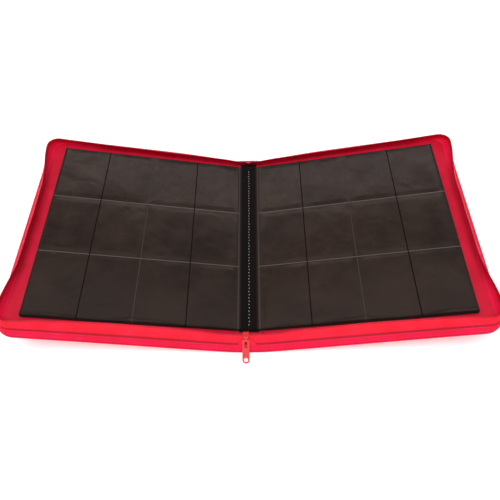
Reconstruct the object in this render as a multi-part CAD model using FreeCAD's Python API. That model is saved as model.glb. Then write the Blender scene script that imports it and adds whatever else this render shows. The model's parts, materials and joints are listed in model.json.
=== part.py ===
"""Zipped binder for trading cards, lying open with its covers raised from the spine.

Frame: +Z up, +Y from the zip pull towards the far end, the spine along Y.
The origin is the middle of the spine's underside. All sizes are in millimetres.
"""
import FreeCAD, Part
import math
import os

V = FreeCAD.Vector

# ---- pocket pages ---------------------------------------------------------------------
LEAF_COUNT = 10             # leaves on each side when the binder is open at its middle
LEAF_WIDTH = 282.0          # from the gutter weld to the outer weld
LEAF_HEIGHT = 296.0         # three rows of pockets with their welds
LEAF_THICK = 0.40           # black sheet with its two pocket films, empty
LEAF_PITCH = 0.70           # leaf to leaf in the stack
LEAF_START = 0.3            # from a leaf's root line to its sheet
LEAF_CLIP = 2.5             # clipped outer corners
GUTTER_HALF = 15.0          # from the fold to the gutter weld
ROOT_X = 2.0                # from the fold to the top leaf's root
FILM_THICK = 0.12           # one clear pocket film
COLUMNS = 4                 # pockets across a leaf
SLIT_WIDTH = 1.6            # slit between two columns, where the cards go in
WELD_WIDTH = 4.0            # welded margin round the pockets

# ---- covers ---------------------------------------------------------------------------
OPEN_RISE = 10.0            # angle of each open cover above the table, degrees
END_BORDER = 27.0           # from the leaves to the covers' near and far edges
BORDER = 30.0               # lining seen between the leaves and the zip edge
CORNER_RADIUS = 26.0        # of the covers' outer corners
BOARD_INSET = 1.5           # from the edge of the fabric to the edge of the board
SKIN_THICK = 0.8            # outer fabric
BOARD_THICK = 2.5           # stiff board inside each cover
LINING_THICK = 0.5

# ---- zipped wall on three sides of each cover -----------------------------------------
RIM_HEIGHT = 9.5            # top of the fabric rim above the cover's underside
WALL_HEIGHT = 19.0          # top of the zip tape above the cover's underside
RIM_LEAN = 7.0              # how far the rim leans in along the near and far edges
TAPE_LEAN = 10.5            # how far the tape leans in beyond the rim, near and far
RIM_RADIUS = 20.0           # corner of the rim at its top
TAPE_RADIUS = 14.0          # corner of the tape at its top
RIM_THICK = 1.6
TAPE_THICK = 0.9
TEETH_SIZE = 1.4            # coil of the zip along the tape's edge
TEETH_GAP = 0.5             # from the teeth to the middle plane when the binder is shut

# ---- spine ----------------------------------------------------------------------------
FOLD_CLEARANCE = 1.2        # cover to fold line
SKIN_GAP = 0.3              # from the fold line to the spine's outer fabric
SPINE_GAP = 0.9             # from the folded cover's lining to the spine's board
SPINE_INSET = 9.0           # from the spine's ends to its board and lining
STACK_CLEARANCE = 0.4       # lining to the lowest leaf's root
STITCH_LENGTH = 2.4
STITCH_PITCH = 4.0
STITCH_SIZE = 0.5
STITCH_HEIGHT = 0.25
BINDING_GAP = 0.7           # from the top leaf's root to the sewn wedge

# ---- zip end at the near end of the spine ----------------------------------------------
END_HALF_WIDTH = 15.0
END_SLOPE_LENGTH = 23.0     # up the cloth that leans in from each end of the spine
END_FOOT = 2.0              # from the spine's end to the foot of that cloth
END_LIFT = 0.9              # from the outer fabric to the foot of that cloth
END_START = 0.5             # from that foot to the cloth's lower edge
END_THICK = 1.0             # of that cloth
WALL_GAP = 5.0              # from the top of that cloth to the start of a cover's wall
SLIDER_OFFSET = -4.0        # the slider sits a little left of the fold
SLIDER_WIDTH = 8.0
SLIDER_LENGTH = 11.0
SLIDER_OVERHANG = 1.5       # beyond the top of the sloping cloth
SLIDER_TAIL = 0.7           # width where the closed zip leaves, as a share of the mouth
SLIDER_TAPER = 4.0          # length of the narrower end
POST_WIDTH = 2.0
POST_LENGTH = 4.0
LUG_INNER = 1.9             # from the middle to a lug's inner face
LUG_THICK = 1.2
LUG_LENGTH = 3.4
LUG_HEIGHT = 3.2
LUG_SINK = 0.4              # into the upper plate
PLATE_THICK = 1.1
PLATE_GAP = 1.8
PIN_RADIUS = 0.7
PIN_CLEARANCE = 0.08
PIN_SHARE = 0.45            # of the slider's length, from its tail to the pin
EYE_RADIUS = 1.6            # round the pin, on the pull and on the lugs
PULL_WIDTH = 9.4
PULL_LENGTH = 34.0
PULL_THICK = 1.6
NECK_WIDTH = 3.2
NECK_LENGTH = 4.0
NECK_SINK = 1.0             # into the pull's plate
PULL_HOLE_RADIUS = 2.8
PULL_SLOT_START = 6.0       # from the pin
PULL_SLOT_LENGTH = 8.0
PULL_SLOT_WIDTH = 3.4
PULL_DROOP = 29.0           # angle of the resting pull below the horizontal, degrees
STOP_GAP = 0.6              # from the slider's tail to the end stop
STOP_WIDTH = 4.4
STOP_LENGTH = 2.0
STOP_THICK = 1.8

# ---- worked out from the sizes above ---------------------------------------------------
COVER_THICK = SKIN_THICK + BOARD_THICK + LINING_THICK
HALF_LENGTH = LEAF_HEIGHT / 2 + END_BORDER
FOLD_X = WALL_HEIGHT + TEETH_SIZE / 2 + TEETH_GAP
SPINE_HALF = FOLD_X - COVER_THICK - SPINE_GAP
RISE_SIN = math.sin(math.radians(OPEN_RISE))
RISE_COS = math.cos(math.radians(OPEN_RISE))
ROOT_STEP_X = LEAF_PITCH
ROOT_STEP_Z = LEAF_PITCH * (1 - RISE_SIN) / RISE_COS
ROOT_Z = COVER_THICK + STACK_CLEARANCE + LEAF_THICK / 2 + (LEAF_COUNT - 1) * ROOT_STEP_Z
LEAF_END = GUTTER_HALF + LEAF_WIDTH
COVER_WIDTH = LEAF_END - FOLD_X + BORDER
END_RISE = math.degrees(math.atan2(WALL_HEIGHT - COVER_THICK, RIM_LEAN + TAPE_LEAN))
WALL_START = END_SLOPE_LENGTH + WALL_GAP
BINDING_TOP = ROOT_Z - BINDING_GAP
SLIDER_FOOT = END_SLOPE_LENGTH - SLIDER_LENGTH + SLIDER_OVERHANG
SLIDER_TOP = END_THICK / 2 + PLATE_THICK + PLATE_GAP + PLATE_THICK


def box(x0, x1, y0, y1, z0, z1):
    """A box between two corners, whichever order the x values come in."""
    low = min(x0, x1)
    return Part.makeBox(abs(x1 - x0), y1 - y0, z1 - z0, V(low, y0, z0))


def arc_edge(centre, radius, start, end):
    """An arc in a level plane about centre, from start to end in degrees."""
    points = []
    for angle in (start, (start + end) / 2, end):
        turn = math.radians(angle)
        points.append(centre + V(radius * math.cos(turn), radius * math.sin(turn), 0))
    return Part.Arc(*points).toShape(), points[0], points[2]


def u_path(inner, outer, half, radius, level):
    """Edges of a U from the far end round the outer edge to the near end, counter to the clock."""
    near_arc, near_a, near_b = arc_edge(V(outer - radius, -half + radius, level), radius, 270, 360)
    far_arc, far_a, far_b = arc_edge(V(outer - radius, half - radius, level), radius, 0, 90)
    start = V(inner, -half, level)
    end = V(inner, half, level)
    return [
        Part.LineSegment(start, near_a).toShape(),
        near_arc,
        Part.LineSegment(near_b, far_a).toShape(),
        far_arc,
        Part.LineSegment(far_b, end).toShape(),
    ], start, end


def plate(inset, z0, z1):
    """One flat layer of a cover, with round outer corners, inset from its edges."""
    inner = FOLD_CLEARANCE + inset
    outer = COVER_WIDTH - inset
    half = HALF_LENGTH - inset
    radius = CORNER_RADIUS - inset
    edges, start, end = u_path(inner, outer, half, radius, z0)
    edges.append(Part.LineSegment(end, start).toShape())
    return Part.Face(Part.Wire(edges)).extrude(V(0, 0, z1 - z0))


def u_band_wire(inner, outer, half, radius, thick, level):
    """Outline of a U-shaped strip of one thickness, open towards the spine."""
    out_edges, out_start, out_end = u_path(inner, outer, half, radius, level)
    in_edges, in_start, in_end = u_path(inner, outer - thick, half - thick, radius - thick, level)
    edges = out_edges + [Part.LineSegment(out_end, in_end).toShape()]
    for edge in reversed(in_edges):
        edges.append(edge)
    edges.append(Part.LineSegment(in_start, out_start).toShape())
    return Part.Wire(Part.__sortEdges__(edges))


def u_band(low, high, thick, proud=0.0):
    """A strip along three sides between two levels, each as (inset at the ends, corner, level).

    It stands upright along the outer edge, and proud is how far its outer face stands out.
    """
    wires = []
    for inset, radius, level in (low, high):
        half = HALF_LENGTH - inset + proud
        wires.append(u_band_wire(WALL_START, COVER_WIDTH + proud, half, radius + proud, thick, level))
    return Part.makeLoft(wires, True, True)


def lay_cover_part(shape, side):
    """Carry a part drawn flat from the fold line to its place on the right or left cover."""
    placed = shape.copy()
    placed.rotate(V(0, 0, 0), V(0, 1, 0), -OPEN_RISE)
    placed.translate(V(FOLD_X, 0, 0))
    return placed if side > 0 else placed.mirror(V(0, 0, 0), V(1, 0, 0))


def cover_parts(side):
    """The layers of one cover, with its rim, zip tape and zip teeth."""
    board_top = SKIN_THICK + BOARD_THICK
    parts = {
        "cover_skin": plate(0, 0, SKIN_THICK),
        "cover_board": plate(BOARD_INSET, SKIN_THICK, board_top),
        "cover_lining": plate(0, board_top, COVER_THICK),
    }
    foot = (0, CORNER_RADIUS, COVER_THICK)
    rim_top = (RIM_LEAN, RIM_RADIUS, RIM_HEIGHT)
    tape_top = (RIM_LEAN + TAPE_LEAN, TAPE_RADIUS, WALL_HEIGHT - TEETH_SIZE / 2)
    teeth_top = (RIM_LEAN + TAPE_LEAN, TAPE_RADIUS, WALL_HEIGHT + TEETH_SIZE / 2)
    parts["cover_rim"] = u_band(foot, rim_top, RIM_THICK)
    parts["zip_tape"] = u_band(rim_top, tape_top, TAPE_THICK)
    parts["zip_teeth"] = u_band(tape_top, teeth_top, TEETH_SIZE, TEETH_SIZE - TAPE_THICK)
    return {name: lay_cover_part(shape, side) for name, shape in parts.items()}


def leaf_root(number):
    """Distance from the fold and height of the root of leaf 1, the top one, and those under it."""
    down = number - 1
    return ROOT_X + down * ROOT_STEP_X, ROOT_Z - down * ROOT_STEP_Z


def lay_leaf_part(shape, number, side):
    """Carry a part drawn flat from a leaf's root to its place in the right or left stack."""
    x, z = leaf_root(number)
    placed = shape.copy()
    placed.rotate(V(0, 0, 0), V(0, 1, 0), -OPEN_RISE)
    placed.translate(V(x, 0, z))
    return placed if side > 0 else placed.mirror(V(0, 0, 0), V(1, 0, 0))


def leaf_length(number):
    """From a leaf's root to its outer edge, so that all outer edges are in line."""
    x, z = leaf_root(number)
    return LEAF_END - ROOT_X - (x - ROOT_X) * RISE_COS + (ROOT_Z - z) * RISE_SIN


def leaf(number, side):
    """One pocket leaf, from its sewn root to its outer weld."""
    half = LEAF_HEIGHT / 2
    end = leaf_length(number)
    clip = LEAF_CLIP
    outline = [(LEAF_START, -half), (end - clip, -half), (end, -half + clip)]
    outline += [(end, half - clip), (end - clip, half), (LEAF_START, half)]
    points = [V(x, y, -LEAF_THICK / 2) for x, y in outline + outline[:1]]
    flat = Part.Face(Part.makePolygon(points)).extrude(V(0, 0, LEAF_THICK))
    return lay_leaf_part(flat, number, side)


def pocket_films(side):
    """Clear films over the four columns of the top leaf, welded round and slit in pairs."""
    half = LEAF_HEIGHT / 2 - WELD_WIDTH
    first = GUTTER_HALF - ROOT_X + WELD_WIDTH
    column = (leaf_length(1) - WELD_WIDTH - first) / COLUMNS
    strips = []
    for index in range(COLUMNS):
        low = first + index * column + SLIT_WIDTH / 2
        high = low + column - SLIT_WIDTH
        strips.append(box(low, high, -half, half, LEAF_THICK / 2, LEAF_THICK / 2 + FILM_THICK))
    return lay_leaf_part(Part.makeCompound(strips), 1, side)


def spine_layer(half_width, inset, z0, z1):
    """One layer of the spine, inset from the ends of the covers."""
    half = HALF_LENGTH - inset
    return box(-half_width, half_width, -half, half, z0, z1)


def page_binding():
    """Wedge of sewn leaf roots on the spine, clear of the leaves as they turn."""
    half = LEAF_HEIGHT / 2
    run = (BINDING_TOP - COVER_THICK) * ROOT_STEP_X / ROOT_STEP_Z
    top = ROOT_X - BINDING_GAP
    outline = [(-top, BINDING_TOP), (top, BINDING_TOP), (top + run, COVER_THICK), (-top - run, COVER_THICK)]
    points = [V(x, -half, z) for x, z in outline + outline[:1]]
    return Part.Face(Part.makePolygon(points)).extrude(V(0, LEAF_HEIGHT, 0))


def binding_stitches():
    """Row of thread stitches along the top of the sewn roots."""
    count = int((LEAF_HEIGHT - STITCH_PITCH) / STITCH_PITCH)
    half = STITCH_LENGTH / 2
    wide = STITCH_SIZE / 2
    stitches = []
    for index in range(count):
        y = (index - (count - 1) / 2) * STITCH_PITCH
        stitches.append(box(-wide, wide, y - half, y + half, BINDING_TOP, BINDING_TOP + STITCH_HEIGHT))
    return Part.makeCompound(stitches)


def lay_on_slope(shape, end):
    """Tilt a part drawn flat, from its foot inwards, to lean in from one end of the spine."""
    placed = shape.copy()
    placed.rotate(V(0, 0, 0), V(1, 0, 0), END_RISE)
    placed.translate(V(0, -HALF_LENGTH + END_FOOT, SKIN_THICK + END_LIFT))
    return placed if end < 0 else placed.mirror(V(0, 0, 0), V(0, 1, 0))


def gusset(end):
    """Fabric panel that closes one end of the spine between the two walls."""
    half = END_THICK / 2
    panel = box(-END_HALF_WIDTH, END_HALF_WIDTH, END_START, END_SLOPE_LENGTH, -half, half)
    return lay_on_slope(panel, end)


def on_zip_end(shape):
    """Carry a part drawn on the slope to the slider's place."""
    moved = shape.copy()
    moved.translate(V(SLIDER_OFFSET, 0, 0))
    return lay_on_slope(moved, -1)


def slider_plate(z0):
    """One plate of the slider: wide at its mouths, narrower where the closed zip leaves."""
    half = SLIDER_WIDTH / 2
    tail = half * SLIDER_TAIL
    y0 = SLIDER_FOOT
    y1 = SLIDER_FOOT + SLIDER_LENGTH
    shoulder = y0 + SLIDER_TAPER
    outline = [(-tail, y0), (tail, y0), (half, shoulder), (half, y1), (-half, y1), (-half, shoulder)]
    points = [V(x, y, z0) for x, y in outline + outline[:1]]
    return Part.Face(Part.makePolygon(points)).extrude(V(0, 0, PLATE_THICK))


def slider_body():
    """Two plates joined by a post between their mouths, with two lugs for the pull's pin."""
    z0 = END_THICK / 2
    low = slider_plate(z0)
    high = slider_plate(z0 + PLATE_THICK + PLATE_GAP)
    y1 = SLIDER_FOOT + SLIDER_LENGTH
    post = box(-POST_WIDTH / 2, POST_WIDTH / 2, y1 - POST_LENGTH, y1, z0, SLIDER_TOP)
    solid = low.fuse(high).fuse(post)
    pin_y, pin_z = pin_place()
    near, far = pin_y - LUG_LENGTH / 2, pin_y + LUG_LENGTH / 2
    for side in (-1, 1):
        inner = side * LUG_INNER
        outer = side * (LUG_INNER + LUG_THICK)
        solid = solid.fuse(box(inner, outer, near, far, SLIDER_TOP - LUG_SINK, pin_z + EYE_RADIUS))
    bore = Part.makeCylinder(PIN_RADIUS, SLIDER_WIDTH, V(-SLIDER_WIDTH / 2, pin_y, pin_z), V(1, 0, 0))
    return on_zip_end(solid.removeSplitter().cut(bore))


def pin_place():
    """Place of the pull's pin on the slope: distance up it and height over it."""
    return SLIDER_FOOT + SLIDER_LENGTH * PIN_SHARE, SLIDER_TOP + LUG_HEIGHT - EYE_RADIUS


def slider_pin():
    """Pin across the slider's lugs, pressed in them and free in the pull."""
    pin_y, pin_z = pin_place()
    reach = LUG_INNER + LUG_THICK
    return on_zip_end(Part.makeCylinder(PIN_RADIUS, 2 * reach, V(-reach, pin_y, pin_z), V(1, 0, 0)))


def pin_centre():
    """Middle of the pull's pin in the binder's frame."""
    pin_y, pin_z = pin_place()
    turn = math.radians(END_RISE)
    y = -HALF_LENGTH + END_FOOT + pin_y * math.cos(turn) - pin_z * math.sin(turn)
    z = SKIN_THICK + END_LIFT + pin_y * math.sin(turn) + pin_z * math.cos(turn)
    return V(SLIDER_OFFSET, y, z)


def zip_pull():
    """Flat pull with a round end, a ring hole, a slot, and an eye on the slider's pin."""
    half = PULL_WIDTH / 2
    thick = PULL_THICK / 2
    body = box(-half, half, NECK_LENGTH, PULL_LENGTH - half, -thick, thick)
    tip_centre = V(0, PULL_LENGTH - half, -thick)
    tip = Part.makeCylinder(half, PULL_THICK, tip_centre)
    hole = Part.makeCylinder(PULL_HOLE_RADIUS, PULL_THICK, tip_centre)
    slot_half = PULL_SLOT_WIDTH / 2
    slot = box(-slot_half, slot_half, PULL_SLOT_START, PULL_SLOT_START + PULL_SLOT_LENGTH, -thick, thick)
    neck = box(-NECK_WIDTH / 2, NECK_WIDTH / 2, 0.0, NECK_LENGTH + NECK_SINK, -thick, thick)
    eye = Part.makeCylinder(EYE_RADIUS, NECK_WIDTH, V(-NECK_WIDTH / 2, 0, 0), V(1, 0, 0))
    solid = body.fuse(tip).fuse(neck).fuse(eye).removeSplitter().cut(hole).cut(slot)
    bore_radius = PIN_RADIUS + PIN_CLEARANCE
    solid = solid.cut(Part.makeCylinder(bore_radius, 2 * NECK_WIDTH, V(-NECK_WIDTH, 0, 0), V(1, 0, 0)))
    solid.rotate(V(0, 0, 0), V(0, 0, 1), 180)
    solid.rotate(V(0, 0, 0), V(1, 0, 0), PULL_DROOP)
    solid.translate(pin_centre())
    return solid


def end_stop():
    """Small clamp over the joined tapes just below the slider."""
    half = STOP_WIDTH / 2
    top = SLIDER_FOOT - STOP_GAP
    low = END_THICK / 2
    return on_zip_end(box(-half, half, top - STOP_LENGTH, top, low, low + STOP_THICK))


def save(name, shape):
    """Write one named part."""
    shape.exportStep("parts/" + name + ".step")


def main():
    """Make every part of the binder and write it under its own name."""
    os.makedirs("parts", exist_ok=True)
    board_top = SKIN_THICK + BOARD_THICK
    save("spine_skin", spine_layer(FOLD_X - SKIN_GAP, 0, 0, SKIN_THICK))
    save("spine_board", spine_layer(SPINE_HALF, SPINE_INSET, SKIN_THICK, board_top))
    save("spine_lining", spine_layer(SPINE_HALF, SPINE_INSET, board_top, COVER_THICK))
    save("page_binding", page_binding())
    save("binding_stitches", binding_stitches())
    for side, word in ((-1, "left"), (1, "right")):
        for name, shape in cover_parts(side).items():
            save(word + "_" + name, shape)
        for number in range(1, LEAF_COUNT + 1):
            save("%s_leaf_%02d" % (word, number), leaf(number, side))
        save(word + "_pocket_films", pocket_films(side))
    save("near_gusset", gusset(-1))
    save("far_gusset", gusset(1))
    save("zip_slider", slider_body())
    save("slider_pin", slider_pin())
    save("zip_pull", zip_pull())
    save("zip_end_stop", end_stop())


main()
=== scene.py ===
"""Looks of a zipped binder for trading cards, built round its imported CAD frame.

The binder lies open. Each cover rises from the spine, and a cloth wall with a zip runs round its
three free edges. Cover points are given as (u, y, w): u out from the fold line along the cover,
y along the spine, and w up from the cover's underside. Leaf points are (a, y, h) in the same way,
from the leaf's sewn root. Lengths are in metres, and MM turns millimetres into them.
"""
import json
import math

import bpy
import bmesh
import numpy as np
from mathutils import Matrix, Vector


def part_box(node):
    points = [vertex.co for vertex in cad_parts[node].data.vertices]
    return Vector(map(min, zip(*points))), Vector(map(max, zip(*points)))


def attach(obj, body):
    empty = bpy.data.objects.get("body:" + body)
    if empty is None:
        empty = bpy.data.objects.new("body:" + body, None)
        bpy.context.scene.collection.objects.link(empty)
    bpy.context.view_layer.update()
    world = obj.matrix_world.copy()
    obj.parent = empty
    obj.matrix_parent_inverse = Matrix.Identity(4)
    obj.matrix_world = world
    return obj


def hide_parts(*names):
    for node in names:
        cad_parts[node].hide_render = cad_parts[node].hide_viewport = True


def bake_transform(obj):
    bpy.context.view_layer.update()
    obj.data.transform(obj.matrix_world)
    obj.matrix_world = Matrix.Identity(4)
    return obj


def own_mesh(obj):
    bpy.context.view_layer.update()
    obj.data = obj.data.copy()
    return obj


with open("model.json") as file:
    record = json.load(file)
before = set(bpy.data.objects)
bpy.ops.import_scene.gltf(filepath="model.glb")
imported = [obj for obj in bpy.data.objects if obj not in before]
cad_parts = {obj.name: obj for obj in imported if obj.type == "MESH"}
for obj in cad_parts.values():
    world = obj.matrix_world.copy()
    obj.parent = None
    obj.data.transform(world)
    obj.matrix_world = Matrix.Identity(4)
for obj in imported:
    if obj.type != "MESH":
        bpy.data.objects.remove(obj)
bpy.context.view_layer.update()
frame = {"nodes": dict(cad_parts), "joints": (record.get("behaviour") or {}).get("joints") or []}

MM = 0.001
TAU = 2 * math.pi
SIDES = (("left", -1), ("right", 1))
LEAVES = sum(1 for name in frame["nodes"] if name.startswith("right_leaf_"))
JOINTS = {joint["name"]: joint for joint in frame["joints"]}

# ---- sizes read from the frame ------------------------------------------------------------------


def vertices(node):
    """All vertices of a CAD node as rows of x, y, z."""
    mesh = frame["nodes"][node].data
    flat = np.empty(len(mesh.vertices) * 3, np.float32)
    mesh.vertices.foreach_get("co", flat)
    return flat.reshape(-1, 3).astype(float)


FOLD = JOINTS["right_cover_fold"]["pos_m"][0]
SKIN = vertices("right_cover_skin")
RISE = math.atan(np.polyfit(SKIN[:, 0], SKIN[:, 2], 1)[0])
COS = math.cos(RISE)
SIN = math.sin(RISE)
HALF_LENGTH = SKIN[:, 1].max()
COVER_WIDTH = (SKIN[:, 0].max() - FOLD) / COS


def in_cover(node):
    """Vertices of a right-hand CAD node as columns u, y and w of its cover."""
    x, y, z = vertices(node).T
    return (x - FOLD) * COS + z * SIN, y, z * COS - (x - FOLD) * SIN


def level_and_inset(node):
    """Top level of a wall node, and how far its top stands in from the cover's far edge."""
    _, y, w = in_cover(node)
    return w.max(), HALF_LENGTH - y[w > w.max() - 0.2 * MM].max()


COVER_THICK = in_cover("right_cover_lining")[2].max()
BOARD_TOP = in_cover("right_cover_lining")[2].min()
SKIN_THICK = in_cover("right_cover_skin")[2].max()
RIM_TOP, RIM_INSET = level_and_inset("right_cover_rim")
TAPE_TOP, TAPE_INSET = level_and_inset("right_zip_tape")
WALL_TOP = in_cover("right_zip_teeth")[2].max()
WALL_START = in_cover("right_cover_rim")[0].min()
LEAF_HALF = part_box("right_leaf_01")[1].y
LEAF_THICK = 0.40 * MM
SPINE_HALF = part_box("spine_lining")[1].x
SPINE_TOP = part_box("spine_lining")[1].z
SPINE_INSET = HALF_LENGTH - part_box("spine_lining")[1].y
ROOT_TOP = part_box("page_binding")[1].z
SLIDER_X = (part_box("zip_slider")[0].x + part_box("zip_slider")[1].x) / 2
COVER_RADIUS = 26 * MM
RIM_RADIUS = 20 * MM
TAPE_RADIUS = 14 * MM

# ---- sizes of the cloth and the zip -------------------------------------------------------------
TAPE_THICK = 0.9 * MM
COIL_PITCH = 1.5 * MM
STITCH_PITCH = 3.2 * MM          # of the seams round the rims
ROOT_STITCH_PITCH = 5.2 * MM     # of the row along the gutter
FAR_BOW = 6.0 * MM               # how far the far edge is drawn in at the spine
NEAR_BOW = 2.5 * MM
FAR_BOW_REACH = 75 * MM          # how far along the edge each bow is felt
NEAR_BOW_REACH = 190 * MM
BOW_START = 2 * MM               # from the leaves to where a bow begins
CORNER_GIVE = 5.0 * MM           # how much less the tape leans in at a corner than in its middle
WALL_SAG = 4.5 * MM              # lean of the near and far walls beside the spine
NEAR_LEAN = 4.5 * MM             # further lean in the middle of a near wall
SIDE_LEAN = 11.0 * MM            # lean of a side wall between its corners
SIDE_DROP = 0.8 * MM             # how far its top comes down with that
LEAN_START = 2.5 * MM            # level where that lean begins
SIDE_FREE = 29 * MM              # from a cover's end to where that lean begins
SIDE_SOFT = 85 * MM              # over which it grows
CORNER_SPAN = 45 * MM            # from a cover's end to where a wall counts as a side wall
CORNER_SOFT = 20 * MM
END_DROP = 1.5 * MM              # how far the tape comes down from a wall to the slider
END_HALF = 15 * MM               # half the width of the cloth between the walls
END_SLOPE = 23 * MM              # length of that cloth up its slope
END_FOOT = 2 * MM                # from the spine's end to its foot
END_LIFT = 0.9 * MM              # from the outer cloth to its foot
FAR_END_X = 15.6 * MM            # where the far tapes stop, beside the gusset
SLIDER_CLEAR = 1.0 * MM          # from the slider's middle to where the near tapes stop
BEND_SOFT = 3 * MM               # rounding of its base over the fold
FOLD_SOFT = 4 * MM               # each side of the fold line, where the flat cloth bends
SHELL_INSET = 1.6 * MM           # from a cover's edge to its outer cloth, which the rim wraps
TURN_START = 3.0 * MM            # from the slider's middle to the tape's turned end
TURN_REACH = 12.5 * MM           # how wide the turned end is, where there is room
TURN_CLEAR = 0.4 * MM            # from the turned end to a shut cover

# ---- sizes of the leaves ------------------------------------------------------------------------
COLUMNS = 4
ROWS = 3
GUTTER_WELD = 13.0 * MM          # from a leaf's root to its first weld
WELD_BORDER = 3.5 * MM           # from a leaf's outer edge to its films
WELD_GAP = 1.5 * MM              # between two films at a weld
SLIT_GAP = 1.5 * MM              # between two films at their open edges
FIRST_GAP = 1.6 * MM             # further room beside the first weld
FILM_THICK = 0.12 * MM
FILM_RISE = 0.42 * MM            # height of a pocket's pillow
PILLOW_EDGE = 9 * MM             # width over which it rises from a weld
ROOT_DIP = 1.1 * MM              # how far a leaf's margin bends down to its root
TONE_SOFT = 0.5 * MM             # over which a weld or slit fades out
DETAILED_LEAVES = 2              # leaves on each side that are seen, so have a fine mesh

# ---- sizes of the hard parts' rounding ----------------------------------------------------------
MERGE = 0.005 * MM
FLAT_ANGLE = math.radians(1)
SHARP_ANGLE = math.radians(40)
BEVEL_ANGLE = math.radians(35)

# A Wave texture of scale 1 draws this many bands in one unit of length.
BANDS_PER_UNIT = 3.18


# ---- meshes -------------------------------------------------------------------------------------


def to_linear(code):
    """An sRGB hex colour as the linear RGBA that a shader takes."""
    parts = [int(code[i:i + 2], 16) / 255 for i in (0, 2, 4)]
    return [p / 12.92 if p <= 0.04045 else ((p + 0.055) / 1.055) ** 2.4 for p in parts] + [1.0]


def spread(*parts):
    """Arrays of x, y and so on, spread to one shape and stacked along a new last axis."""
    return np.stack(np.broadcast_arrays(*parts), axis=-1)


def grid_faces(rows, columns, offset=0):
    """Quads of a grid of rows by columns of points, numbered row by row from the offset."""
    a = np.arange(rows - 1)[:, None] * columns + np.arange(columns - 1)[None, :]
    b = a + columns
    return (np.stack([a, b, b + 1, a + 1], axis=-1) + offset).reshape(-1, 4)


def ring_faces(rings, sides):
    """Quads of a tube of rings of points, each ring joined to the next."""
    k, j = np.meshgrid(np.arange(rings - 1) * sides, np.arange(sides), indexing="ij")
    after = (j + 1) % sides
    return np.stack([k + j, k + after, k + sides + after, k + sides + j], axis=-1).reshape(-1, 4)


def make_mesh(name, points, faces, finish, uv=None, tone=None, angle=38):
    """A mesh object at the origin, its faces turned outwards, and smooth up to an angle in degrees.

    The uv is a row of two numbers for each point, in metres, and tone is one number for each point.
    """
    mesh = bpy.data.meshes.new(name)
    mesh.from_pydata(points.reshape(-1, 3).tolist(), [], faces.tolist())
    if uv is not None:
        layer = mesh.uv_layers.new(name="cloth")
        corners = np.empty(len(mesh.loops), np.int32)
        mesh.loops.foreach_get("vertex_index", corners)
        layer.data.foreach_set("uv", (uv.reshape(-1, 2)[corners] / MM).ravel().astype(np.float32))
    if tone is not None:
        held = mesh.attributes.new("tone", "FLOAT", "POINT")
        held.data.foreach_set("value", tone.ravel().astype(np.float32))
    work = bmesh.new()
    work.from_mesh(mesh)
    bmesh.ops.recalc_face_normals(work, faces=work.faces)
    work.to_mesh(mesh)
    work.free()
    mesh.polygons.foreach_set("use_smooth", np.ones(len(mesh.polygons), bool))
    mesh.set_sharp_from_angle(angle=math.radians(angle))
    mesh.materials.append(finish)
    piece = bpy.data.objects.new(name, mesh)
    bpy.context.scene.collection.objects.link(piece)
    return piece


def slab(name, top, bottom, finish, uv=None, tone=None, both=True):
    """A closed sheet between two grids of points of one size: two faces and four edges.

    The tone is on both faces, or only on the top one.
    """
    rows, columns = top.shape[:2]
    count = rows * columns
    faces = [grid_faces(rows, columns), grid_faces(rows, columns, count)[:, ::-1]]
    index = np.arange(count).reshape(rows, columns)
    rim = np.concatenate([index[0, :], index[1:, -1], index[-1, -2::-1], index[-2:0:-1, 0]])
    after = np.roll(rim, -1)
    faces.append(np.stack([rim, after, after + count, rim + count], axis=-1))
    if uv is not None:
        uv = np.concatenate([uv.reshape(-1, 2)] * 2)
    if tone is not None:
        tone = np.concatenate([tone.ravel(), tone.ravel() * both])
    points = np.concatenate([top.reshape(-1, 3), bottom.reshape(-1, 3)])
    return make_mesh(name, points, np.concatenate(faces), finish, uv, tone)


def repeat_shape(name, shape, faces, places, finish, angle=50):
    """One mesh of many copies of a shape: places has an origin and three axes for each copy."""
    copies = np.einsum("pk,nkx->npx", shape, places[:, 1:]) + places[:, None, 0]
    steps = np.arange(len(places))[:, None, None] * len(shape)
    faces = (faces[None] + steps).reshape(-1, faces.shape[1])
    return make_mesh(name, copies, faces, finish, angle=angle)


def ripple(x, y, seed, lengths, height):
    """Sum of plane waves of the given lengths, each in its own direction, up to about height."""
    draw = np.random.default_rng(seed)
    total = np.zeros(np.broadcast(x, y).shape)
    for length in lengths:
        turn, phase = draw.uniform(0, TAU, 2)
        total += np.sin((x * math.cos(turn) + y * math.sin(turn)) * TAU / length + phase)
    return total * height / len(lengths)


def smoothstep(t):
    """0 below 0, 1 above 1, and a smooth S between."""
    t = np.clip(t, 0, 1)
    return t * t * (3 - 2 * t)


def bowed(points):
    """Points moved along y near the two ends: the far end is drawn in, and the near end out.

    The move is a bell over x. It grows from nothing beside the leaves to its full size at the edge.
    """
    x, y = points[..., 0], points[..., 1]
    start = LEAF_HALF + BOW_START
    over = np.clip((np.abs(y) - start) / (HALF_LENGTH - start), 0, 1)
    far = FAR_BOW * np.exp(-(x / FAR_BOW_REACH) ** 2)
    near = NEAR_BOW * np.exp(-(x / NEAR_BOW_REACH) ** 2)
    moved = points.copy()
    moved[..., 1] = y - over * np.where(y > 0, far, near)
    return moved


def cover_point(side, u, y, w):
    """Points of a cover, from its fold line: u and w turned by the rise, mirrored for the left."""
    return bowed(spread(side * (FOLD + u * COS - w * SIN), y, u * SIN + w * COS))


def leaf_root(number):
    """Distance from the middle and height of a leaf's sewn root."""
    place = JOINTS["right_leaf_%02d_follow" % number]["pos_m"]
    return place[0], place[2]


def leaf_length(number):
    """From a leaf's root to its outer edge."""
    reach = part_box("right_leaf_%02d" % number)[1].x - leaf_root(number)[0]
    return (reach - LEAF_THICK / 2 * SIN) / COS


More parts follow.
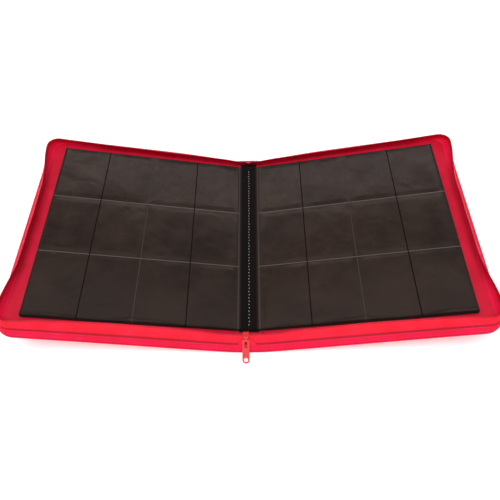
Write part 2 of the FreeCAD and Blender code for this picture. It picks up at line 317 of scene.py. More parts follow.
def leaf_point(side, number, a, y, h):
    """Points of a leaf, from its root: a and h turned by the rise, mirrored for the left."""
    x0, z0 = leaf_root(number)
    return spread(side * (x0 + a * COS - h * SIN), y, z0 + a * SIN + h * COS)


# ---- materials ----------------------------------------------------------------------------------


def node(tree, kind, inputs=(), **settings):
    """Adds one shader node: inputs pairs a socket's name or number with a value or an output."""
    made = tree.nodes.new(kind)
    for key, value in settings.items():
        setattr(made, key, value)
    for key, value in inputs:
        if isinstance(value, bpy.types.NodeSocket):
            tree.links.new(value, made.inputs[key])
        else:
            made.inputs[key].default_value = value
    return made


def new_finish(name, **sockets):
    """A material with one shader; sockets are its constants, with spaces written as underscores."""
    finish = bpy.data.materials.new(name)
    finish.use_nodes = True
    tree = finish.node_tree
    shader = tree.nodes["Principled BSDF"]
    for key, value in sockets.items():
        shader.inputs[key.replace("_", " ")].default_value = value
    return finish, tree, shader


def mottled(tree, coordinate, dark, light, patch, detail=3.0):
    """Colour that drifts between two hex values in soft patches, each about patch metres wide."""
    noise = node(
        tree, "ShaderNodeTexNoise",
        [("Vector", coordinate), ("Scale", 1 / patch), ("Detail", detail)])
    ramp = node(tree, "ShaderNodeValToRGB", [("Fac", noise.outputs["Fac"])])
    for element, position, code in zip(ramp.color_ramp.elements, (0.35, 0.65), (dark, light)):
        element.position = position
        element.color = to_linear(code)
    return ramp.outputs["Color"]


def weave_height(tree, coordinate, spacing, diagonal=0.0):
    """Height of a plain weave: two crossed sets of threads, spacing millimetres apart."""
    heights = []
    for direction, turn in (("X", diagonal), ("Y", -diagonal)):
        turned = node(
            tree, "ShaderNodeMapping", [("Vector", coordinate), ("Rotation", (0, 0, turn))])
        wave = node(
            tree, "ShaderNodeTexWave",
            [("Vector", turned.outputs[0]), ("Scale", 1 / (spacing * BANDS_PER_UNIT)),
             ("Distortion", 0.6), ("Detail", 1.0)],
            bands_direction=direction)
        heights.append(wave.outputs["Fac"])
    crossed = node(
        tree, "ShaderNodeMath", [(0, heights[0]), (1, heights[1])], operation="MULTIPLY")
    return crossed.outputs[0]


def bump(tree, shader, height, distance, strength=1.0, normal=None):
    """Raises the surface by a height field, distance metres from low to high."""
    inputs = [("Height", height), ("Distance", distance), ("Strength", strength)]
    if normal is not None:
        inputs.append(("Normal", normal))
    made = node(tree, "ShaderNodeBump", inputs)
    tree.links.new(made.outputs["Normal"], shader.inputs["Normal"])
    return made.outputs["Normal"]


def cloth(name, dark, light, spacing, roughness, sheen, tint, diagonal=0.0, depth=0.12 * MM):
    """Woven polyester: soft patches of colour, threads as bump, and a fibre sheen at the edges.

    Spacing is the distance between threads in millimetres. Real threads are about 0.3 mm apart, too
    fine to show here, so they are drawn three to four times as wide. A tone of 1 halves the colour,
    as in the shade of a seam. Creases are about 11 mm across.
    """
    finish, tree, shader = new_finish(
        name, Roughness=roughness, Sheen_Weight=sheen, Sheen_Roughness=0.35,
        Sheen_Tint=to_linear(tint), IOR=1.5, Specular_IOR_Level=0.25)
    place = node(tree, "ShaderNodeTexCoord")
    patches = mottled(tree, place.outputs["Object"], dark, light, 26.3 * MM)
    weave = weave_height(tree, place.outputs["UV"], spacing, diagonal)
    shade = node(tree, "ShaderNodeMapRange", [("Value", weave), ("To Min", 0.86), ("To Max", 1.06)])
    # The tone attribute darkens the colour down to half: painted shade in seams, folds and the
    # turned tape end's crest.
    seam = node(tree, "ShaderNodeAttribute", attribute_name="tone")
    shadow = node(
        tree, "ShaderNodeMapRange",
        [("Value", seam.outputs["Fac"]), ("To Min", 1.0), ("To Max", 0.5)])
    weave_and_painted_seam_shade = node(
        tree, "ShaderNodeMath", [(0, shade.outputs["Result"]), (1, shadow.outputs["Result"])],
        operation="MULTIPLY")
    mixed = node(
        tree, "ShaderNodeVectorMath", [(0, patches), ("Scale", weave_and_painted_seam_shade.outputs[0])], operation="SCALE")
    tree.links.new(mixed.outputs[0], shader.inputs["Base Color"])
    creases = node(
        tree, "ShaderNodeTexNoise",
        [("Vector", place.outputs["Object"]), ("Scale", 1 / (11.1 * MM)), ("Detail", 4.0),
         ("Roughness", 0.6)])
    normal = bump(tree, shader, creases.outputs["Fac"], 0.5 * MM, 0.5)
    bump(tree, shader, weave, depth, 0.8, normal)
    return finish


def welded(tree, base, tone, pale):
    """Base colour turned towards a pale hex colour where tone rises from 0 to 1.

    A Mix node's colour sockets share their names with its number sockets, so they are set by place.
    """
    share = node(tree, "ShaderNodeMapRange", [("Value", tone)])
    mixed = node(
        tree, "ShaderNodeMix", [(0, share.outputs[0]), (6, base), (7, to_linear(pale))],
        data_type="RGBA")
    return mixed.outputs[2]


def page_sheet():
    """Black embossed polypropylene: matt, with a grain of 1.1 mm, pale welds and dark slits.

    A tone above 0 is a weld and turns pale; a tone below 0 turns black and rough: painted shade in
    the slits and over the margin by the root.
    """
    finish, tree, shader = new_finish(
        "black_embossed_polypropylene", Roughness=0.5, IOR=1.49, Specular_IOR_Level=0.3,
        Specular_Tint=to_linear("ffe4dc"))
    place = node(tree, "ShaderNodeTexCoord")
    base = mottled(tree, place.outputs["Object"], "17100d", "1f1612", 33.3 * MM)
    tone = node(tree, "ShaderNodeAttribute", attribute_name="tone")
    grain = node(
        tree, "ShaderNodeTexVoronoi",
        [("Vector", place.outputs["Object"]), ("Scale", 1 / (1.11 * MM))])
    pale = welded(tree, base, tone.outputs["Fac"], "6a625c")
    # Below 0 the colour is scaled down to black: painted shade in the slits and over the margin by
    # the root.
    slit = node(
        tree, "ShaderNodeMapRange",
        [("Value", tone.outputs["Fac"]), ("From Min", -1.0), ("From Max", 0.0)])
    dark = node(
        tree, "ShaderNodeVectorMath", [(0, pale), ("Scale", slit.outputs[0])], operation="SCALE")
    tree.links.new(dark.outputs[0], shader.inputs["Base Color"])
    shine = node(
        tree, "ShaderNodeMapRange",
        [("Value", tone.outputs["Fac"]), ("From Min", -1.0), ("From Max", 0.0), ("To Min", 1.0),
         ("To Max", 0.5)])
    tree.links.new(shine.outputs[0], shader.inputs["Roughness"])
    bump(tree, shader, grain.outputs["Distance"], 0.10 * MM, 0.5)
    return finish


def pocket_film():
    """Clear polypropylene over the black sheet: a glossy skin with slow waves and faint scuffs.

    The waves are about 60 mm long and the scuffs 18 mm across, over a grain of 0.9 mm.
    """
    finish, tree, shader = new_finish(
        "clear_film_over_black", IOR=1.5, Specular_IOR_Level=0.4, Specular_Tint=to_linear("ffe4dc"),
        Coat_Weight=0.05, Coat_Roughness=0.08)
    place = node(tree, "ShaderNodeTexCoord")
    base = mottled(tree, place.outputs["Object"], "18100c", "241812", 71.4 * MM, 5.0)
    tone = node(tree, "ShaderNodeAttribute", attribute_name="tone")
    tree.links.new(welded(tree, base, tone.outputs["Fac"], "6e665e"), shader.inputs["Base Color"])
    scuffs = node(
        tree, "ShaderNodeTexNoise",
        [("Vector", place.outputs["Object"]), ("Scale", 1 / (18.2 * MM)), ("Detail", 6.0),
         ("Roughness", 0.65)])
    rough = node(
        tree, "ShaderNodeMapRange",
        [("Value", scuffs.outputs["Fac"]), ("From Min", 0.3), ("From Max", 0.7), ("To Min", 0.16),
         ("To Max", 0.30)])
    tree.links.new(rough.outputs["Result"], shader.inputs["Roughness"])
    waves = node(
        tree, "ShaderNodeTexNoise",
        [("Vector", place.outputs["Object"]), ("Scale", 1 / (62.5 * MM)), ("Detail", 2.0),
         ("Distortion", 0.6)])
    normal = bump(tree, shader, waves.outputs["Fac"], 3.0 * MM, 0.5)
    grain = node(
        tree, "ShaderNodeTexVoronoi",
        [("Vector", place.outputs["Object"]), ("Scale", 1 / (0.909 * MM))])
    bump(tree, shader, grain.outputs["Distance"], 0.03 * MM, 0.35, normal)
    return finish


def nylon_coil():
    """Dyed nylon monofilament: smooth and slightly waxy."""
    finish, tree, shader = new_finish(
        "dyed_nylon_coil", Roughness=0.5, IOR=1.53, Specular_IOR_Level=0.25, Subsurface_Weight=0.05,
        Subsurface_Scale=0.5 * MM)
    place = node(tree, "ShaderNodeTexCoord")
    base = mottled(tree, place.outputs["Object"], "b80a28", "d41432", 8.33 * MM)
    tree.links.new(base, shader.inputs["Base Color"])
    return finish


def coral_enamel():
    """Coral paint baked on cast zinc: an even gloss with a faint orange peel."""
    finish, tree, shader = new_finish(
        "coral_enamel_on_zinc", Roughness=0.4, IOR=1.45, Coat_Weight=0.2, Coat_Roughness=0.15)
    place = node(tree, "ShaderNodeTexCoord")
    base = mottled(tree, place.outputs["Object"], "d8262a", "e23036", 6.25 * MM)
    tree.links.new(base, shader.inputs["Base Color"])
    peel = node(
        tree, "ShaderNodeTexNoise",
        [("Vector", place.outputs["Object"]), ("Scale", 1 / (0.714 * MM))])
    bump(tree, shader, peel.outputs["Fac"], 0.04 * MM, 0.4)
    return finish


def drawn_steel():
    """Drawn steel wire: bright, with a fine unevenness in its shine."""
    finish, tree, shader = new_finish(
        "drawn_steel_wire", Metallic=1.0, Base_Color=to_linear("c9c7c4"))
    place = node(tree, "ShaderNodeTexCoord")
    lines = node(
        tree, "ShaderNodeTexNoise",
        [("Vector", place.outputs["Object"]), ("Scale", 1 / (0.4 * MM))])
    rough = node(
        tree, "ShaderNodeMapRange",
        [("Value", lines.outputs["Fac"]), ("To Min", 0.25), ("To Max", 0.4)])
    tree.links.new(rough.outputs["Result"], shader.inputs["Roughness"])
    return finish


def thread(name, dark, light):
    """Twisted polyester thread: matt, with slow changes of colour along it."""
    finish, tree, shader = new_finish(name, Roughness=0.7, Sheen_Weight=0.1)
    place = node(tree, "ShaderNodeTexCoord")
    base = mottled(tree, place.outputs["Object"], dark, light, 1.43 * MM)
    tree.links.new(base, shader.inputs["Base Color"])
    return finish


def grey_board():
    """Pressed grey board: matt, flecked and fibrous."""
    finish, tree, shader = new_finish("pressed_grey_board", Roughness=0.9, IOR=1.45)
    place = node(tree, "ShaderNodeTexCoord")
    base = mottled(tree, place.outputs["Object"], "8a857d", "a19c94", 3.33 * MM, 6.0)
    tree.links.new(base, shader.inputs["Base Color"])
    return finish


COVER_CLOTH = cloth("red_woven_polyester", "f4083e", "fc1048", 1.0, 0.66, 0.05, "ff8a9c")
LINING_CLOTH = cloth(
    "red_satin_lining", "c40028", "d00a34", 0.8, 0.6, 0.04, "ff9090", depth=0.06 * MM)
WALL_CLOTH = cloth("crimson_taffeta", "c00228", "cc0630", 0.9, 0.62, 0.04, "ff7080")
TAPE_CLOTH = cloth(
    "red_herringbone_zip_tape", "fa122e", "ff1e3c", 1.1, 0.66, 0.05, "ff9a9a", math.radians(40))
BLACK_CLOTH = cloth("matt_black_binding_cloth", "0a0909", "100e0e", 1.0, 0.9, 0.03, "666666")
PAGE = page_sheet()
FILM = pocket_film()
COIL = nylon_coil()
ENAMEL = coral_enamel()
STEEL = drawn_steel()
THREAD = thread("pale_twisted_thread", "a8a09a", "c8c0ba")
SEAM_THREAD = thread("red_twisted_thread", "a00420", "c0082c")
BOARD = grey_board()


# ---- camera, light and floor --------------------------------------------------------------------
CAMERA_PLACE = (8.0 * MM, -424.5 * MM, 618.5 * MM)
CAMERA_PITCH = math.radians(56.3)
CAMERA_TURN = math.radians(-0.87)
CAMERA_ROLL = math.radians(-1.26)
SENSOR = 36.0
LENS = 35.1
FLOOR_REACH = 4.0


def set_camera():
    """Stands the camera in front and above, turned down by the pitch and by small turns aside."""
    ahead = Vector((
        math.sin(CAMERA_TURN) * math.cos(CAMERA_PITCH),
        math.cos(CAMERA_TURN) * math.cos(CAMERA_PITCH),
        -math.sin(CAMERA_PITCH)))
    level = Vector((math.cos(CAMERA_TURN), -math.sin(CAMERA_TURN), 0))
    above = level.cross(ahead)
    right = level * math.cos(CAMERA_ROLL) + above * math.sin(CAMERA_ROLL)
    up = above * math.cos(CAMERA_ROLL) - level * math.sin(CAMERA_ROLL)
    data = bpy.data.cameras.new("camera")
    data.sensor_width = SENSOR
    data.lens = LENS
    camera = bpy.data.objects.new("camera", data)
    turned = Matrix((right, up, -ahead)).transposed().to_4x4()
    camera.matrix_world = Matrix.Translation(CAMERA_PLACE) @ turned
    bpy.context.scene.collection.objects.link(camera)
    bpy.context.scene.camera = camera


def softbox(name, place, target, width, height, power):
    """One rectangular studio light turned towards a point."""
    data = bpy.data.lights.new(name, "AREA")
    data.shape = "RECTANGLE"
    data.size = width
    data.size_y = height
    data.energy = power
    light = bpy.data.objects.new(name, data)
    light.location = place
    light.rotation_euler = (Vector(target) - Vector(place)).to_track_quat("-Z", "Y").to_euler()
    bpy.context.scene.collection.objects.link(light)


def set_studio():
    """A light table under one large front light, with two dim strips that the films reflect."""
    scene = bpy.context.scene
    scene.view_settings.view_transform = "Standard"
    world = bpy.data.worlds.new("studio")
    world.use_nodes = True
    background = world.node_tree.nodes["Background"]
    background.inputs["Color"].default_value = to_linear("ffffff")
    background.inputs["Strength"].default_value = 0.28
    scene.world = world
    softbox("front_light", (-0.3, -0.9, 3.2), (0, 0.1, 0), 3.0, 1.6, 104)
    softbox("overhead_light", (0, 1.15, 2.9), (0, -0.1, 0), 3.0, 0.7, 4.0)
    softbox("back_strip", (0.1, 2.3, 2.4), (0, 0, 0.1), 4.2, 0.5, 9)
    floor, tree, shader = new_finish(
        "white_light_table", Roughness=0.9, Specular_IOR_Level=0.1,
        Emission_Color=to_linear("ffffff"), Emission_Strength=0.28)
    place = node(tree, "ShaderNodeTexCoord")
    base = mottled(tree, place.outputs["Object"], "fafafa", "fdfdfd", 500 * MM)
    tree.links.new(base, shader.inputs["Base Color"])
    corners = FLOOR_REACH * np.array([[-1, -1, 0], [1, -1, 0], [1, 1, 0], [-1, 1, 0]])
    make_mesh("floor", corners, np.array([[0, 1, 2, 3]]), floor)


# ---- covers -------------------------------------------------------------------------------------


def cover_reach(y, inset, radius):
    """How far out a cover's flat layers reach at each y: straight, then round at the corners."""
    over = np.clip(np.abs(y) - (HALF_LENGTH - inset - radius), 0, radius)
    return COVER_WIDTH - inset - radius + np.sqrt(np.maximum(radius ** 2 - over ** 2, 0))


def corner_rows(inset, radius, straight=60, bend=12):
    """Values of y that crowd together round the corners of a flat layer."""
    half = HALF_LENGTH - inset
    turn = radius * np.sin(np.linspace(0, math.pi / 2, bend))
    ends = half - radius + turn
    between = np.linspace(-half + radius, half - radius, straight)[1:-1]
    return np.concatenate([-ends[::-1], between, ends])


def flat_layer(name, side, inset, start, low, high, wave, finish, lift=0.0):
    """One layer of a cover: a slab with round outer corners and slow waves in its upper face.

    Its edge turns up by lift, as cloth does where it runs into a seam.
    """
    y = corner_rows(inset, COVER_RADIUS - inset)[:, None]
    share = np.linspace(0, 1, 70)[None, :]
    reach = cover_reach(y, inset, COVER_RADIUS - inset)
    u = start + (reach - start) * share
    edge = np.minimum(reach - u, HALF_LENGTH - inset - np.abs(y))
    rise = lift * (1 - smoothstep(edge / (7 * MM)))
    waves = ripple(u, y, 11 + side, (0.05, 0.083, 0.031), wave)
    top = cover_point(side, u, y, high + rise + waves * smoothstep(edge / (10 * MM)))
    bottom = cover_point(side, u, y, low + rise)
    return slab(name, top, bottom, finish, spread(u, y))


# Points on each straight of a wall, round each of its corners, and along its side.
STRAIGHT_POINTS = 54
CORNER_POINTS = 12
SIDE_POINTS = 60


def u_line(inset_ends, inset_side, radius):
    """Line round a cover's three free edges, from the near end of the spine to the far end.

    Three straights joined by two quarter circles; returns rows of u and y.
    """
    half = HALF_LENGTH - inset_ends
    outer = COVER_WIDTH - inset_side
    quarter = np.linspace(0, math.pi / 2, CORNER_POINTS + 2)[1:-1]
    along = np.linspace(WALL_START, outer - radius, STRAIGHT_POINTS)
    up = np.linspace(-half + radius, half - radius, SIDE_POINTS)
    out, back = radius * np.sin(quarter), radius * np.cos(quarter)
    near = spread(along, -half)
    near_corner = spread(outer - radius + out, -half + radius - back)
    far_corner = spread(outer - radius + back, half - radius + out)
    far = spread(along[::-1], half)
    return np.concatenate([near, near_corner, spread(outer, up), far_corner, far])


# Each row of a wall's section is (inset at the ends, inset at the side, corner radius, level), in
# millimetres from the cover's foot upwards. The outer rows bulge, nip in at the seam and lean in.
RIM_OUTER = MM * np.array([
    (3.2, 3.2, 22.8, 0.05),
    (1.3, 1.3, 24.7, 0.2),
    (0.3, 0.3, 25.7, 1.1),
    (0.05, 0.05, 26.0, 2.2),
    (0.45, 0.2, 25.6, 3.3),
    (1.15, 0.75, 25.0, 3.9),
    (1.5, 0.35, 24.6, 4.6),
    (2.9, 0.05, 23.3, 6.2),
    (4.8, 0.05, 21.6, 8.0),
    (6.3, 0.5, 20.4, 9.1),
    (7.2, 1.0, 19.8, 9.5),
])
RIM_INNER = MM * np.array([
    (4.2, 4.2, 22.0, 0.85),
    (2.6, 2.6, 23.4, 1.0),
    (1.4, 1.4, 24.6, 1.5),
    (1.3, 1.3, 24.7, 2.3),
    (1.6, 1.5, 24.4, 3.25),
    (9.5, 8.5, 17.0, 3.95),
    (9.0, 7.2, 17.3, 4.6),
    (8.8, 5.4, 17.8, 6.2),
    (8.8, 3.8, 18.2, 7.8),
    (8.7, 2.8, 18.5, 8.8),
    (8.6, 2.2, 18.6, 9.3),
])


def section_between(low, high, steps, bulge):
    """Rows of a section from low to high, bowed outwards in the middle by bulge."""
    t = np.linspace(0, 1, steps)[:, None]
    rows = np.array(low) * (1 - t) + np.array(high) * t
    bow = bulge * np.sin(math.pi * t[:, 0])
    rows[:, 0] -= bow
    rows[:, 1] -= bow
    return rows


TAPE_FOOT = (RIM_INSET + 0.3 * MM, 1.1 * MM, RIM_RADIUS - 0.3 * MM, RIM_TOP - 0.15 * MM)
TAPE_HEAD = (TAPE_INSET - CORNER_GIVE, 0.05 * MM, TAPE_RADIUS + CORNER_GIVE * 0.8, TAPE_TOP)
TAPE_OUTER = section_between(TAPE_FOOT, TAPE_HEAD, 9, 0.45 * MM)
TAPE_INNER = TAPE_OUTER + np.array([TAPE_THICK, TAPE_THICK, -TAPE_THICK, -0.3 * MM])
TAPE_INNER[0] = (8.4 * MM, 2.0 * MM, 18.8 * MM, RIM_TOP - 0.45 * MM)    # behind the rim


def wall_lean(share, is_near):
    """How far a wall's top leans in, from the spine at 0 to the corner at 1.

    A cubic law that falls to nothing at the corner, and on the near walls a flat-topped arch more.
    """
    arch = np.clip(np.sin(math.pi * np.clip(share * 0.98, 0, 1)), 0, 1) ** 0.7
    return WALL_SAG * (1 - np.clip(share, 0, 1) ** 3) + NEAR_LEAN * arch * is_near


def swept_wall(section, side, seed, ripple_height):
    """Grid of points along the three edges for every row of a section.

    Above the rim, the near and far walls lean in over the cover. The side wall leans in between its
    corners in proportion to its height, and its top comes down by a square law as it does.
    """
    columns = []
    for inset, inset_side, radius, level in section:
        u, y = u_line(inset, inset_side, radius).T
        height = np.clip((level - RIM_TOP) / (WALL_TOP - RIM_TOP), 0, 1)
        share = (u - WALL_START) / (COVER_WIDTH - WALL_START)
        at_ends = smoothstep((np.abs(y) - (HALF_LENGTH - CORNER_SPAN)) / CORNER_SOFT)
        waves = ripple(u, y, seed, (0.045, 0.07, 0.11), ripple_height) * height
        middle = smoothstep((HALF_LENGTH - SIDE_FREE - np.abs(y)) / SIDE_SOFT)
        up = np.clip((level - LEAN_START) / (WALL_TOP - LEAN_START), 0, 1)
        y = y - np.sign(y) * (wall_lean(share, y < 0) * height + waves) * at_ends
        u = u - waves * (1 - at_ends) * middle - SIDE_LEAN * up * middle
        columns.append(cover_point(side, u, y, level - SIDE_DROP * up ** 2 * middle))
    return np.stack(columns, axis=1)


def wall_uv(points):
    """Cloth coordinates of a wall: length along its middle row, and height up its first line."""
    middle = points[:, points.shape[1] // 2]
    along = np.concatenate([[0], np.cumsum(np.linalg.norm(np.diff(middle, axis=0), axis=1))])
    first = points[0]
    up = np.concatenate([[0], np.cumsum(np.linalg.norm(np.diff(first, axis=0), axis=1))])
    return np.stack(np.meshgrid(along, up, indexing="ij"), axis=-1)


def path_frames(line, face, spacing):
    """Origins and axes every spacing along a line: along it, out along face, and square to both."""
    step = np.linalg.norm(np.diff(line, axis=0), axis=1)
    reach = np.concatenate([[0], np.cumsum(step)])
    count = int(reach[-1] / spacing)
    at = (np.arange(count) + 0.5) * reach[-1] / count
    origin = np.stack([np.interp(at, reach, line[:, k]) for k in range(3)], axis=-1)
    out = np.stack([np.interp(at, reach, face[:, k]) for k in range(3)], axis=-1)
    ahead = np.gradient(origin, axis=0)
    ahead /= np.linalg.norm(ahead, axis=1)[:, None]
    out -= (out * ahead).sum(1)[:, None] * ahead
    out /= np.linalg.norm(out, axis=1)[:, None]
    return np.stack([origin, ahead, out, np.cross(ahead, out)], axis=1)


def tooth_shape():
    """One turn of the coil: a short bar with a hooked head, of four rings of four points."""
    half = COIL_PITCH * 0.3
    out, radius = MM * np.array([[-1.3, -0.4, 0.45, 0.95], [0.42, 0.55, 0.62, 0.30]])[:, :, None]
    across = np.array([-1, 1, 1, -1])[None, :]
    above = np.array([-1, -1, 1, 1])[None, :]
    shape = spread(across * half, out, above * radius).reshape(-1, 3)
    return shape, np.concatenate([ring_faces(4, 4), [[3, 2, 1, 0], [12, 13, 14, 15]]])


def make_coil(name, tape_outer, tape_inner):
    """Turns of the zip's coil along the top of a tape, each square to the tape's edge."""
    top = (tape_outer[:, -1] + tape_inner[:, -1]) / 2
    below = (tape_outer[:, -3] + tape_inner[:, -3]) / 2
    places = path_frames(top, top - below, COIL_PITCH)
    shape, faces = tooth_shape()
    piece = repeat_shape(name, shape, faces, places, COIL)
    return piece


SEAM_ROW = 8    # row of the rim's section that carries its stitches
FOOT_ROW = 5    # row where the rim nips in over the cover's edge


def stitch_shape(length, radius, arch):
    """One stitch: a capsule of five rings of six points, arched by a parabola, and its faces."""
    rings, sides = 5, 6
    t = np.linspace(-1, 1, rings)[:, None]
    turn = (np.arange(sides) * TAU / sides)[None, :]
    thick = radius * np.sqrt(np.clip(1 - t ** 4, 0.12, 1))
    shape = spread(t * length, thick * np.cos(turn), arch * (1 - t ** 2) + thick * np.sin(turn))
    last = (rings - 1) * sides
    caps = [[0, 1, 2, 3], [0, 3, 4, 5]]
    caps += [[last + 3, last + 2, last + 1, last], [last + 5, last + 4, last + 3, last]]
    return shape.reshape(-1, 3), np.concatenate([ring_faces(rings, sides), caps])


def make_seam(name, wall):
    """Row of small stitches along a rim, each sunk halfway into the cloth."""
    line = wall[:, SEAM_ROW]
    up = wall[:, SEAM_ROW + 1] - wall[:, SEAM_ROW - 1]
    ahead = np.gradient(line, axis=0)
    out = np.cross(ahead, up)
    out /= np.linalg.norm(out, axis=1)[:, None]
    out *= np.sign(((line - np.array([line[:, 0].mean(), 0, 0.2])) * out).sum(1).mean())
    places = path_frames(line, out, STITCH_PITCH)
    shape, faces = stitch_shape(1.0 * MM, 0.28 * MM, 0.12 * MM)
    piece = repeat_shape(name, shape[:, [0, 2, 1]], faces, places, SEAM_THREAD)
    return piece


# The rows of u_line that make the near wall with its corner, the side wall, and the far wall.
SIDE_FIRST = STRAIGHT_POINTS + CORNER_POINTS
SIDE_LAST = SIDE_FIRST + SIDE_POINTS
WALL_SPANS = (
    ("near", 0, SIDE_FIRST + 1), ("side", SIDE_FIRST, SIDE_LAST), ("far", SIDE_LAST - 1, None))
GROOVE = 2      # rows of the tape that lie in the seam's shadow


def wall_pieces(word, side):
    """Rim, seam stitches, tape and coil on the three edges of one cover.

    The side wall leans in while the binder is open, and each of its pieces gets a mesh of its own.
    """
    body = word + "_cover"
    rims = [swept_wall(section, side, 21, 0) for section in (RIM_OUTER, RIM_INNER)]
    tapes = [swept_wall(section, side, 31 + side, 0.5 * MM) for section in (TAPE_OUTER, TAPE_INNER)]
    edge = cover_point(side, COVER_WIDTH, 0, 0).tolist()
    for place, first, last in WALL_SPANS:
        made = []
        for label, (outer, inner), finish, slot, replaced in (
                ("rim_cloth", rims, COVER_CLOTH, "cover_fabric", "_cover_rim"),
                ("zip_tape_cloth", tapes, TAPE_CLOTH, "zip_tape", "_zip_tape")):
            outer, inner = outer[first:last], inner[first:last]
            # Painted shade in the seam between rim and tape, and in the fold at the rim's foot.
            tone = groove_tone(outer, label == "rim_cloth")
            name = "%s_%s_%s" % (word, place, label)
            piece = slab(name, outer, inner, finish, wall_uv(outer), tone, False)
            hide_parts(word + replaced)
            made.append(piece)
        coil = make_coil("%s_%s_zip_coil" % (word, place), outer, inner)
        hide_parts(word + "_zip_teeth")
        seam = make_seam("%s_%s_rim_stitches" % (word, place), rims[0][first:last])
        for piece in made + [coil, seam]:
            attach(piece, body)
            if place == "side":
                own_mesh(piece)


def groove_tone(outer, is_rim):
    """Painted shade: 1 in the seam between rim and tape, and in the fold at the rim's foot, and 0
    elsewhere.
    """
    tone = np.zeros(outer.shape[:2])
    if is_rim:
        tone[:, -1] = 1.0
        tone[:, FOOT_ROW] = 0.7
    else:
        tone[:, :GROOVE] = 1.0
    return tone


def make_cover(word, side):
    """One cover: outer shell, board and lining, with its walls."""
    body = word + "_cover"
    shell = flat_layer(
        word + "_cover_shell", side, SHELL_INSET, 1.2 * MM, 0, SKIN_THICK, 0, COVER_CLOTH)
    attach(shell, body)
    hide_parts(word + "_cover_skin")
    board = flat_layer(
        word + "_stiff_board", side, SPINE_INSET, 2.4 * MM, SKIN_THICK, BOARD_TOP, 0, BOARD)
    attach(board, body)
    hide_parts(word + "_cover_board")
    lining = flat_layer(
        word + "_lining_cloth", side, 2.2 * MM, 1.2 * MM, BOARD_TOP, COVER_THICK - 0.15 * MM,
        0.15 * MM, LINING_CLOTH, 0.9 * MM)
    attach(lining, body)
    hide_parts(word + "_cover_lining")
    wall_pieces(word, side)


# ---- cloth between the covers and the spine -----------------------------------------------------


def end_cloth(section, side, end, inner_x, steps=40):
    """Grid of points of the wall's section carried from a cover's wall in to the spine's end.

    Its base is level over the spine and follows the cover's rise beyond the fold, rounded there by
    a bell; its lean grows from none to the rise, and its top falls towards the middle. The end is
    -1 for the near one and 1 for the far one.
    """
    wall_x = FOLD + WALL_START * COS
    x = np.linspace(wall_x, inner_x, steps)
    bell = 0.35 * BEND_SOFT * np.exp(-((x - FOLD) / (2 * BEND_SOFT)) ** 2)
    base = (np.maximum(x - FOLD, 0) + bell) * math.tan(RISE)
    base[0] = WALL_START * SIN
    lean = RISE * smoothstep(x / wall_x)
    inward = smoothstep((wall_x - x) / (wall_x - inner_x))
    columns = []
    for inset, _, _, level in section:
        height = np.clip((level - RIM_TOP) / (WALL_TOP - RIM_TOP), 0, 1)
        waves = ripple(x, 0, 41 + side, (0.021, 0.034), 0.35 * MM) * np.sin(math.pi * inward)
        y = end * (HALF_LENGTH - inset - (WALL_SAG - waves) * height)
        w = level - END_DROP * height * inward
        columns.append(bowed(spread(side * (x - w * np.sin(lean)), y, base + w * np.cos(lean))))
    return np.stack(columns, axis=1)


def make_spine_end(word, side, end_word, end, inner_x):
    """Rim, tape and coil that run on from one wall to the end of the spine, bending at the fold."""
    label = word + "_" + end_word
    for part, outer, inner, finish, slot in (
            ("_rim_end", RIM_OUTER, RIM_INNER, COVER_CLOTH, "cover_fabric"),
            ("_tape_end", TAPE_OUTER, TAPE_INNER, TAPE_CLOTH, "zip_tape")):
        middle = inner_x if part == "_tape_end" else 0.0
        outside, inside = (end_cloth(section, side, end, middle) for section in (outer, inner))
        # Painted shade in the seam between rim and tape, and in the fold at the rim's foot.
        tone = groove_tone(outside, part == "_rim_end")
        piece = slab(label + part, outside, inside, finish, wall_uv(outside), tone, False)
        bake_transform(piece)
        if part == "_rim_end":
            seam = make_seam(label + "_stitches_end", outside)
            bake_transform(seam)
    coil = make_coil(label + "_coil_end", outside, inside)
    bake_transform(coil)


def level_cloth(name, x, y, top, bottom, finish, side=1):
    """A sheet between two heights over the spine, bowed at its ends; side mirrors it."""
    high, low = (bowed(spread(side * x, y, z)) for z in (top, bottom))
    return slab(name, high, low, finish, spread(x, y))


def along_spine(inset, steps=90):
    """Values of y from end to end of the spine, less an inset."""
    return np.linspace(-HALF_LENGTH + inset, HALF_LENGTH - inset, steps)[:, None]


def make_fold(word, side):
    """Outer cloth that bends at the fold between spine and cover, and the lining over it.

    Both are level, then rise with the cover; the lining dips in a bell over the fold.
    """
    x = np.linspace(FOLD - 6 * MM, FOLD + 5 * MM, 16)[None, :]
    z = np.maximum(x - FOLD, 0) * math.tan(RISE) + 0.02 * MM
    outer = level_cloth(
        word + "_fold_cloth", x, along_spine(SHELL_INSET), z + SKIN_THICK + 0.05 * MM, z,
        COVER_CLOTH, side)
    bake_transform(outer)
    x = np.linspace(SPINE_HALF - 2 * MM, FOLD + 7 * MM, 22)[None, :]
    over = COVER_THICK + np.maximum(x - FOLD, 0) * math.tan(RISE) + 0.1 * MM
    dip = 1.1 * MM * np.exp(-((x - FOLD + 0.5 * MM) / (2.2 * MM)) ** 2)
    inner = level_cloth(
        word + "_fold_lining", x, along_spine(SPINE_INSET), over - dip, over - dip - 0.4 * MM,
        LINING_CLOTH, side)
    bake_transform(inner)


def make_spine():
    """Spine: outer cloth, board and black gutter cloth, which ripples a little."""
    x = np.linspace(-FOLD + FOLD_SOFT, FOLD - FOLD_SOFT, 20)[None, :]
    shell = level_cloth("spine_shell", x, along_spine(SHELL_INSET), SKIN_THICK, 0, COVER_CLOTH)
    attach(shell, "spine")
    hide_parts("spine_skin")
    y = along_spine(SPINE_INSET)
    x = np.linspace(-SPINE_HALF, SPINE_HALF, 24)[None, :]
    board = level_cloth("spine_stiff_board", x, y, BOARD_TOP, SKIN_THICK, BOARD)
    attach(board, "spine")
    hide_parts("spine_board")
    top = SPINE_TOP + ripple(x, y, 5, (0.03, 0.05), 0.08 * MM)
    gutter = level_cloth("gutter_cloth", x, y, top, BOARD_TOP, BLACK_CLOTH)
    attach(gutter, "spine")
    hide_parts("spine_lining")


